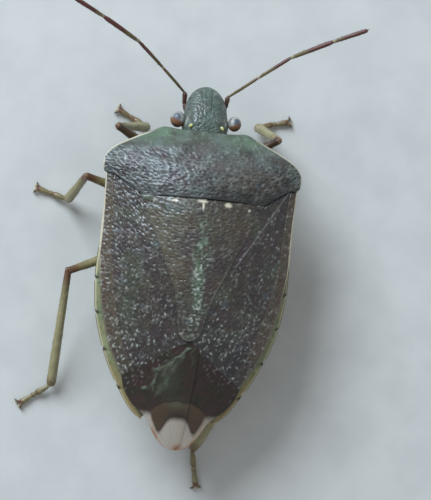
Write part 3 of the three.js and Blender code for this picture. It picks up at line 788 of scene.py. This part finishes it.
def path_frames(path, steps):
    """Centres, along and two sideways directions at even steps of a smooth path through points."""
    knots = np.asarray(path, dtype=float)
    knots = np.vstack([2 * knots[0] - knots[1], knots, 2 * knots[-1] - knots[-2]])
    u = np.linspace(0, 1, 60, endpoint=False)[:, None]
    fine = np.vstack([
        0.5 * (2 * b + (c - a) * u + (2 * a - 5 * b + 4 * c - d) * u ** 2 + (3 * b - a - 3 * c + d) * u ** 3)
        for a, b, c, d in zip(knots, knots[1:], knots[2:], knots[3:])
    ] + [knots[-2:-1]])
    run = np.concatenate([[0], np.cumsum(np.linalg.norm(np.diff(fine, axis=0), axis=1))])
    places = np.linspace(0, run[-1], steps + 1)
    centres = np.stack([np.interp(places, run, fine[:, k]) for k in range(3)], axis=1)
    along = np.gradient(centres, axis=0)
    along /= np.linalg.norm(along, axis=1)[:, None]
    steep = np.abs(along[:, 2]).max() >= 0.98
    side = np.cross(along, [0, 1.0, 0] if steep else [0, 0, 1.0])
    side /= np.linalg.norm(side, axis=1)[:, None]
    return centres, along, side, np.cross(side, along)


def ring_faces(rows, sides):
    """Quads along a stack of rings, with a fan of quads over each end."""
    index = np.arange(rows * sides).reshape(rows, sides)
    ahead = np.roll(index, -1, axis=1)
    quads = np.stack([index[:-1], ahead[:-1], ahead[1:], index[1:]], axis=-1).reshape(-1, 4)
    fan = np.array([[0, 2 * k + 1, 2 * k + 2, 2 * k + 3] for k in range(sides // 2 - 1)])
    return np.concatenate([quads, index[0][fan][:, ::-1], index[-1][fan]])


def tube(path, radius, steps, sides, profile=np.ones_like, flat=1.0, ends=(0.6, 0.6)):
    """Points, quads and share of the way along a round-ended limb; radius is a function of the share."""
    centres, along, side, top = path_frames(path, steps)
    rise = np.arange(1, CAP_RINGS + 1) / (CAP_RINGS + 0.4) * math.pi / 2
    turn = np.concatenate([-rise[::-1], np.zeros(steps + 1), rise])[:, None]
    station = np.pad(np.arange(steps + 1), CAP_RINGS, mode="edge")
    share = np.linspace(0, 1, steps + 1)[station]
    girth = radius(share)[:, None]
    centre = centres[station] + along[station] * girth * np.where(turn < 0, *ends) * np.sin(turn)
    angle = np.linspace(0, 2 * np.pi, sides, endpoint=False)[:, None]
    around = np.cos(angle) * side[station][:, None] + flat * np.sin(angle) * top[station][:, None]
    points = (centre[:, None] + (girth * np.cos(turn))[:, None] * profile(angle) * around).reshape(-1, 3)
    return points, outward(points, ring_faces(len(station), sides)), np.repeat(share, sides)


def blob(centre, radii, columns, rows, turn=None):
    """Points, quads and outward directions of an ellipsoid, its poles closed by small rings."""
    theta = np.linspace(0.03, math.pi - 0.03, rows + 1)[:, None]
    phi = np.linspace(0, 2 * math.pi, columns, endpoint=False)
    out = np.stack([
        np.sin(theta) * np.cos(phi), np.sin(theta) * np.sin(phi), np.cos(theta) * np.ones_like(phi),
    ], axis=-1).reshape(-1, 3)
    shape = out * np.asarray(radii)
    if turn is not None:
        shape = shape @ np.asarray(turn).T
    points = shape + np.asarray(centre)
    return points, outward(points, ring_faces(rows + 1, columns)), out


class Joined:
    """Several closed shapes kept as one mesh, each with its masks."""

    def __init__(self, *keys):
        self.points, self.faces, self.count = [], [], 0
        self.masks = {key: [] for key in keys or ("brown", "black", "pale")}

    def add(self, points, faces, **masks):
        self.points.append(points)
        self.faces.append(faces + self.count)
        self.count += len(points)
        for key, values in self.masks.items():
            values.append(np.ones(len(points)) * masks.get(key, 0.0))

    def add_hairs(self, points, faces, count, length, thick, seed, lean, lowest=-1.0, **masks):
        """Fine hairs on a shape above a lowest height: thin spikes with sunk roots, leaning one way."""
        draw = np.random.default_rng(seed)
        corners = points[faces[draw.integers(0, len(faces), count)]]
        roots = corners.mean(axis=1)
        normals = np.cross(corners[:, 2] - corners[:, 0], corners[:, 3] - corners[:, 1])
        size = np.linalg.norm(normals, axis=1)
        good = (size > 1e-7) & (roots[:, 2] > lowest)
        for root, normal in zip(roots[good], normals[good] / size[good, None]):
            way = unit(normal + lean * draw.uniform(0.5, 1.2) + draw.normal(0, 0.2, 3))
            side = unit(np.cross(way, [0.31, 0.52, 0.79]))
            other = np.cross(way, side)
            reach = length * draw.uniform(0.6, 1.15)
            base = root - way * thick * 1.5
            tip = root + way * reach + draw.normal(0, 0.04, 3) * reach
            quarters = (0, math.pi / 2, math.pi, 4.712)
            ring = np.array([thick * (math.cos(a) * side + math.sin(a) * other) for a in quarters])
            spike = np.concatenate([base + ring, tip + 0.15 * ring])
            self.add(spike, outward(spike, SPIKE_FACES), **masks)

    def make(self, name, *finish):
        masks = {key: np.concatenate(values) for key, values in self.masks.items()}
        piece(name, np.concatenate(self.points), np.concatenate(self.faces), masks, *finish)


# Head
head_top = through((1.1, 3.5), (1.83, 3.45), (2.4, 3.22), (3.0, 2.82), (HEAD_TIP, 2.42))
head_bottom = through((1.1, 2.05), (1.83, 2.0), (2.6, 1.92), (3.1, 1.98), (HEAD_TIP, 2.16))


def head_half_width(y):
    lobes = 0.88 * np.sqrt(np.maximum(0.0006, 1 - np.clip((y - 1.9) / (HEAD_TIP + 0.005 - 1.9), 0, 1) ** 2.6))
    return lobes + 0.07 * bell(y, 1.8, 0.3)


def make_head():
    rear = 1.1

    def plan(s, t):
        y = rear + (HEAD_TIP - rear) * np.sin(t * np.pi / 2)
        return head_half_width(y) * np.sin((s - 0.5) * np.pi), y

    def margin(y):
        return head_bottom(y) + 0.56 * (head_top(y) - head_bottom(y))

    def seam(x, y):
        return bell(np.abs(x), 0.16 + 0.06 * smooth(y, 2.3, 3.3), 0.022) * smooth(y, 2.25, 2.45)

    def over(x, y, s, t):
        wide = np.abs(x)
        u = np.minimum(1, wide / head_half_width(y))
        dome = margin(y) + (head_top(y) - margin(y)) * (1 - u ** 2.6) ** 0.62
        lobe = 0.05 * (1 - smooth(wide, 0.13, 0.24)) * smooth(y, 2.3, 2.6)
        socket = -0.06 * spot(wide - 0.72, y - 2.02, 0.16, 0.34)
        brow = 0.05 * spot(wide - 0.52, y - 2.1, 0.2, 0.45)
        relief = shell_relief(HEAD_PITS, x, y, 0.022, 0.012) * smooth(1 - u, 0.04, 0.2)
        return dome + lobe + socket + brow + relief - 0.03 * seam(x, y) + 0.004

    def under(x, y, s, t):
        u = np.minimum(1, np.abs(x) / head_half_width(y))
        groove = 0.14 * bell(x, 0, 0.15) * smooth(-y, -3.1, -2.8)
        keels = -0.07 * bell(np.abs(x), 0.25, 0.06) * smooth(-y, -3.15, -2.9)
        return margin(y) - (margin(y) - head_bottom(y)) * (1 - u ** 2.2) ** 0.55 + groove + keels - 0.004

    def masks(x, y, s, t):
        beside_eye = spot(np.abs(x) - 0.8 + 0.3 * (y - 1.92), y - 1.9, 0.07, 0.22)
        return {
            "pit": 0.6 * read(HEAD_PITS, x, y),
            "green": 0.15 + 0.4 * bell(x, 0.1, 0.35),
            "pale": 0.5 * beside_eye + 0.12 * ridges(HEAD_PITS, x, y),
            "dark": 0.1 * seam(x, y),
            "cream": 0,
        }

    shell("head_shell", plan, over, under, 150, 150, masks, HEAD, "head_shell", "head")


def make_ocelli():
    m = Paint("ocellus", (206, 204, 138), IOR=1.5, Roughness=0.12, Coat_Weight=0.6)
    m.lay((170, 160, 84), m.clouds(6.0, 2, 0.35, 0.7))
    material = m.done()
    for word, side in SIDES.items():
        x, y = side * 0.64, 1.73
        slant = Matrix.Rotation(side * 0.7, 3, "Z")
        points, faces, out = blob((x, y, float(head_top(y)) - 0.11), (0.07, 0.1, 0.075), 28, 18, slant)
        piece(f"ocellus_{word}", points, faces, {}, material, "head_shell")


EYES = {
    "left": ((-1.14, 1.95, 2.9), (0.3, 0.33, 0.33)),
    "right": ((1.175, 1.98, 2.9), (0.275, 0.3, 0.31)),
}


def make_eyes():
    m = Paint("eye_facets", (108, 105, 100), IOR=1.5, Coat_Weight=0.25, Coat_Roughness=0.2)
    m.lay((132, 128, 121), m.clouds(4.0, 3, 0.35, 0.7))
    # the ring colour is painted highlight
    m.lay_masks(pupil=(82, 88, 98), ring=(184, 182, 176), crescent=(128, 84, 54), rim=(58, 42, 36))
    m.rough(8.0, 2, 0.34, 0.46)
    m.bump(m.add("TexVoronoi", "Distance", Scale=1.0, Vector=m.scaled(34.0)), 0.006, 0.5)
    material = m.done()
    for word, side in SIDES.items():
        points, faces, out = blob(*EYES[word], 56, 40)
        forward = out @ np.array([side * 0.25, 0.28, 0.93])
        rearward = out @ np.array([side * 0.35, -0.93, 0.1])
        crescent = smooth(rearward, 0.1, 0.38)
        masks = {
            "pupil": smooth(forward, 0.8, 0.97) * (1 - crescent),
            # ring: a pale ring round the dark patch: painted highlight
            "ring": bell(forward, 0.68, 0.15) * (1 - crescent) * 0.7,
            "crescent": crescent,
            "rim": np.clip(smooth(rearward, 0.72, 0.88) + 0.75 * smooth(-out[:, 2], -0.1, 0.7), 0, 1),
        }
        piece(f"eye_{word}_facets", points, faces, masks, material, "eye", f"eye_{word}")


# Feelers: a knob on the head and five joints
FEELER_JOINTS = [
    (0.84, 2.6, 2.15), (0.88, 3.06, 2.28), (1.9, 3.9, 2.95), (3.08, 4.84, 3.55), (4.62, 5.62, 4.2),
    (5.9, 6.2, 4.65),
]
# Thickness of each joint, and where along it the red begins
FEELER_LOOKS = [(0.095, 0.9), (0.06, 0.93), (0.07, 0.55), (0.095, 0.42), (0.09, 0.3)]


def make_antenna(word, side):
    joined = Joined()
    mirror = (side, 1, 1)
    joints = np.array(FEELER_JOINTS) * mirror
    knob = np.array([(0.6, 2.28, 2.32), (0.8, 2.58, 2.16)]) * mirror
    points, faces, share = tube(knob, through((0, 0.2), (0.7, 0.16), (1, 0.12)), 8, 16)
    joined.add(points, faces, brown=0.7, black=0.3)
    for i, (start, end, (radius, red)) in enumerate(zip(joints, joints[1:], FEELER_LOOKS)):
        bend = np.array([0, 0, 0.04]) * np.linalg.norm(end - start)
        tip = 0.35 if i == 4 else 0.7
        girth = through((0, 0.55 * radius), (0.05, 0.72 * radius), (0.3, 0.9 * radius), (0.85, radius),
                        (0.97, 0.85 * radius), (1, tip * radius))
        points, faces, share = tube([start, (start + end) / 2 + bend, end], girth, 36, 14, ends=(0.5, 0.5))
        brown = np.maximum(smooth(share, red - 0.08, red + 0.08), 0.7 * (i == 0))
        pale = 0.5 * (1 - smooth(share, 0.03, 0.16)) * (i > 1)
        joined.add(points, faces, brown=brown, pale=pale, black=0.3 * (i == 0))
        lean = 1.2 * unit(end - start)
        joined.add_hairs(points, faces, 60 + 40 * (i > 1), 0.09, 0.005, 50 + i, lean, brown=0.6)
    joined.make(f"feeler_{word}", FEELER, "feeler_shell", f"antenna_{word}")


def make_beak():
    joined = Joined()
    stops = [(0, 3.02, 1.92), (0, 2.72, 1.62), (0, 1.2, 1.55), (0, -0.7, 1.58), (0, -2.75, 1.46)]
    for i, radius in enumerate([0.13, 0.12, 0.11, 0.085]):
        last = i == 3
        tip = 0.4 if last else 0.75
        girth = through((0, 0.8 * radius), (0.12, radius), (0.85, 0.95 * radius), (1, tip * radius))
        points, faces, share = tube(stops[i:i + 2], girth, 16, 14, flat=0.85)
        joined.add(points, faces, brown=0.35 * smooth(share, 0.8, 1.0), black=last * smooth(share, 0.5, 0.9))
    joined.make("beak", LIMB, "limb_shell", "rostrum")


# Legs: hip, knee, ankle and toe of each, as they stand
LEGS = {
    "front_left": ((-0.95, 0.15, 1.45), (-3.46, 1.42, 2.75), (-2.05, 1.6, 0.36), (-3.38, 2.27)),
    "front_right": ((0.95, 0.15, 1.45), (3.04, 1.5, 2.75), (2.52, 2.06, 0.36), (3.96, 2.46)),
    "middle_left": ((-1.15, -1.55, 1.4), (-4.56, -0.7, 2.9), (-5.0, -1.68, 0.36), (-6.42, -1.3)),
    "middle_right": ((1.15, -1.55, 1.4), (3.6, -3.8, 2.2), (3.5, -6.15, 0.36), (3.12, -7.55)),
    "hind_left": ((-1.4, -3.0, 1.4), (-4.86, -4.55, 2.4), (-4.94, -9.28, 0.36), (-6.25, -10.25)),
    "hind_right": ((1.4, -3.0, 1.35), (3.05, -7.0, 1.65), (1.14, -11.4, 0.36), (1.48, -13.05)),
}
LEGS = {name: [np.array(point) for point in leg] for name, leg in LEGS.items()}
FOOT_JOINTS = [(0.0, 0.42, 0.125), (0.44, 0.58, 0.1), (0.6, 1.0, 0.12)]
CLAW = 0.36
SOLE = 0.13


def make_hips():
    joined = Joined("warm", "dark", "cream")
    for hip, knee, ankle, toe in LEGS.values():
        way = unit(knee - hip)
        bulb = [hip + (0, 0, 0.62), hip + (0, 0, 0.3), hip]
        points, faces, share = tube(bulb, through((0, 0.4), (0.7, 0.33), (1, 0.24)), 14, 24)
        joined.add(points, faces, warm=0.15)
        stub = [hip - 0.05 * way, hip + 0.46 * way]
        points, faces, share = tube(stub, through((0, 0.2), (0.5, 0.22), (1, 0.16)), 12, 20)
        joined.add(points, faces, warm=0.3)
    joined.make("hips", BELLY, "belly_shell")


def make_thigh(name, hip, knee, seed):
    way = unit(knee - hip)
    girth = through((0, 0.12), (0.08, 0.16), (0.35, 0.2), (0.75, 0.175), (0.92, 0.15), (1, 0.15))
    points, faces, share = tube([hip + 0.42 * way, knee], girth, 44, 24)
    dark_from, darkest = (0.25, 0.75) if name.startswith("front") else (0.75, 0.3)
    thigh = Joined()
    thigh.add(points, faces, brown=0.9 * smooth(share, dark_from, 0.97),
              black=darkest * smooth(share, dark_from + 0.1, 1.0))
    thigh.add_hairs(points, faces, 120, 0.1, 0.006, seed, way * 1.4, pale=0.3)
    thigh.make(f"thigh_{name}", LIMB, "limb_shell", f"femur_{name}")


def ridged(angle):
    """Outline of a shin: four low ridges and a furrow along the top."""
    return 1 + 0.07 * np.cos(4 * angle) - 0.1 * bell(angle, np.pi / 2, 0.28)


def make_shin(name, hip, knee, ankle, seed):
    down = unit(ankle - knee)
    neck = knee + 0.03 * unit(knee - hip) + (0, 0, 0.02)
    heel = ankle - (0, 0, 0.02)
    elbow = neck + 0.1 * down
    wide = 1.25 if name == "hind_right" else 1.0
    girth = through((0, 0.11), (0.05, 0.125), (0.12, 0.135), (0.5, 0.16 * wide), (0.9, 0.185 * wide),
                    (0.97, 0.185), (1, 0.15))
    path = [neck - 0.06 * down, elbow, (elbow + heel) / 2, heel]
    points, faces, share = tube(path, girth, 60, 32, ridged, ends=(0.6, 0.3))
    shin = Joined()
    brown = np.clip(1 - smooth(share, 0.05, 0.2) + 0.5 * smooth(share, 0.93, 0.99), 0, 1)
    shin.add(points, faces, brown=brown,
             pale=0.3 * smooth(share, 0.15, 0.4) * (1 - smooth(share, 0.9, 0.97)))
    shin.add_hairs(points, faces, 260, 0.12, 0.006, seed, down * 1.6, pale=0.3)
    shin.make(f"shin_{name}", LIMB, "limb_shell", f"tibia_{name}")


def make_foot(name, ankle, toe, seed):
    foot = Joined()
    onward = unit([*(toe - ankle[:2]), 0])
    end = np.array([*toe, 0.14]) - 0.2 * onward
    start = ankle + 0.1 * onward - (0, 0, 0.06)

    def place(u):
        point = start + (end - start) * u
        point[2] = SOLE + (start[2] - SOLE) * (1 - smooth(u, 0.0, 0.55))
        return point

    for first, last, radius in FOOT_JOINTS:
        girth = through((0, 0.55 * radius), (0.2, 0.75 * radius), (0.85, radius), (1, 0.8 * radius))
        path = [place(first), place((first + last) / 2), place(last)]
        points, faces, share = tube(path, girth, 20, 18, flat=0.85)
        points[:, 2] = np.maximum(points[:, 2], 0.0)
        brown = 0.75 * smooth(share, 0.72, 0.95) * (1.25 if last == 1.0 else 0.8)
        foot.add(points, faces, brown=np.clip(brown + (0.35 if name.startswith("front") else 0.1), 0, 1))
        foot.add_hairs(points, faces, 60, 0.09, 0.005, seed + int(10 * first), onward, 0.1, pale=0.4)
    for angle in (-0.75, 0.75):
        out = np.array(Matrix.Rotation(angle, 3, "Z") @ Vector(onward))
        root = end - 0.06 * onward
        arch = root + 0.55 * CLAW * out + (0, 0, 0.05)
        claw = [root, arch, root - 0.08 * onward + CLAW * out - (0, 0, 0.11)]
        points, faces, share = tube(claw, through((0, 0.05), (0.6, 0.035), (1, 0.008)), 16, 12)
        points[:, 2] = np.maximum(points[:, 2], 0.0)
        foot.add(points, faces, brown=0.8, black=smooth(share, 0.4, 0.7))
        points, faces, directions = blob(end + out * 0.15 - (0, 0, 0.05), (0.07, 0.07, 0.045), 16, 10)
        foot.add(points, faces, pale=0.6)
    foot.make(f"foot_{name}", LIMB, "limb_shell", f"tarsus_{name}")


# Last segment, seen through the thin wing tips: two pointed lobes beside a dark plate
def make_abdomen_tip():
    half = 1.02

    def plan(s, t):
        x = (2 * s - 1) * half
        front = -9.2 - 0.25 * (x / half) ** 2
        return x, front + (tail_reach(x) - front) * t

    def from_edge(x, t):
        return np.minimum(1 - t, half - np.abs(x))

    def over(x, y, s, t):
        lobes = 0.1 * bell(np.abs(x), 0.72, 0.2) * smooth(-y, 9.6, 10.0)
        return back(x, y) - 0.27 + lobes - rolled(from_edge(x, t), 0.12)

    def under(x, y, s, t):
        return back(x, y) - 0.75 - 0.1 * bell(x, 0, 0.5) + 0.36 * t ** 1.5 + rolled(from_edge(x, t), 0.1)

    def masks(x, y, s, t):
        return {"brown": 0.9 * smooth(-y, 10.3, 10.5), "black": 0.75 * bell(x, 0, 0.38), "pale": 0}

    shell("tail_capsule", plan, over, under, 120, 60, masks, CAPSULE, "tip_shell", "abdomen_tip")


# Camera: nearly straight down, leaning a little to the bug's left, the bug turned a little to the right
def make_camera():
    lean, turn = math.radians(8), math.radians(5.7)
    distance = 120.0
    mm_per_pixel = 0.04
    image_width = 431
    image_centre = (215.5, 250.0)
    shoulder_pixel = (203.5, 170.0)
    forward = np.array([math.sin(lean), 0, -math.cos(lean)])
    level = np.array([math.cos(lean), 0, math.sin(lean)])
    ahead = np.array([0, 1.0, 0])
    right = math.cos(turn) * level + math.sin(turn) * ahead
    up = math.cos(turn) * ahead - math.sin(turn) * level
    aside, below = mm_per_pixel * (np.array(shoulder_pixel) - image_centre)
    place = (0, 0, 3.7) - distance * forward - aside * right + below * up
    data = bpy.data.cameras.new("camera")
    data.sensor_fit = "HORIZONTAL"
    data.lens = distance / mm_per_pixel * data.sensor_width / image_width
    data.clip_start = 0.001
    camera = bpy.data.objects.new("camera", data)
    turned = Matrix((right, up, -forward)).transposed().to_4x4()
    camera.matrix_world = Matrix.Translation(Vector(to_frame(place))) @ turned
    bpy.context.collection.objects.link(camera)
    bpy.context.scene.camera = camera


def make_light():
    data = bpy.data.lights.new("sky_window", "AREA")
    data.shape = "DISK"
    data.size = 110 * MM
    data.energy = 0.48
    data.color = (0.72, 0.86, 1.0)
    lamp = bpy.data.objects.new("sky_window", data)
    lamp.location = Vector(to_frame((-100, 120, 112)))
    aim = Vector(to_frame((0, -3, 3))) - lamp.location
    lamp.rotation_euler = aim.to_track_quat("-Z", "Y").to_euler()
    bpy.context.collection.objects.link(lamp)


def make_stage():
    half = 600 * MM
    mesh = bpy.data.meshes.new("floor")
    corners = [(-half, -half, 0), (half, -half, 0), (half, half, 0), (-half, half, 0)]
    mesh.from_pydata(corners, [], [(0, 1, 2, 3)])
    m = Paint("floor_paint", (214, 210, 203), Roughness=0.85)
    m.lay((206, 202, 196), m.clouds(0.5, 3, 0.3, 0.7))
    mesh.materials.append(m.done())
    floor = bpy.data.objects.new("floor", mesh)
    bpy.context.collection.objects.link(floor)
    world = bpy.data.worlds.new("studio")
    world.use_nodes = True
    sky = world.node_tree.nodes["Background"].inputs
    sky["Color"].default_value = (0.84, 0.92, 1.0, 1)
    sky["Strength"].default_value = 0.42
    bpy.context.scene.world = world
    bpy.context.scene.view_settings.view_transform = "Standard"


for make in (make_camera, make_light, make_stage, make_head, make_ocelli, make_eyes, make_beak, make_pronotum,
             make_scutellum):
    make()
for word, side in SIDES.items():
    make_corium(word, side)
    make_membrane(word, side)
    make_antenna(word, side)
make_body()
make_abdomen_tip()
make_hips()
for number, (name, (hip, knee, ankle, toe)) in enumerate(LEGS.items()):
    seed = 100 + 10 * number
    make_thigh(name, hip, knee, seed)
    make_shin(name, hip, knee, ankle, seed + 1)
    make_foot(name, ankle, toe, seed + 2)
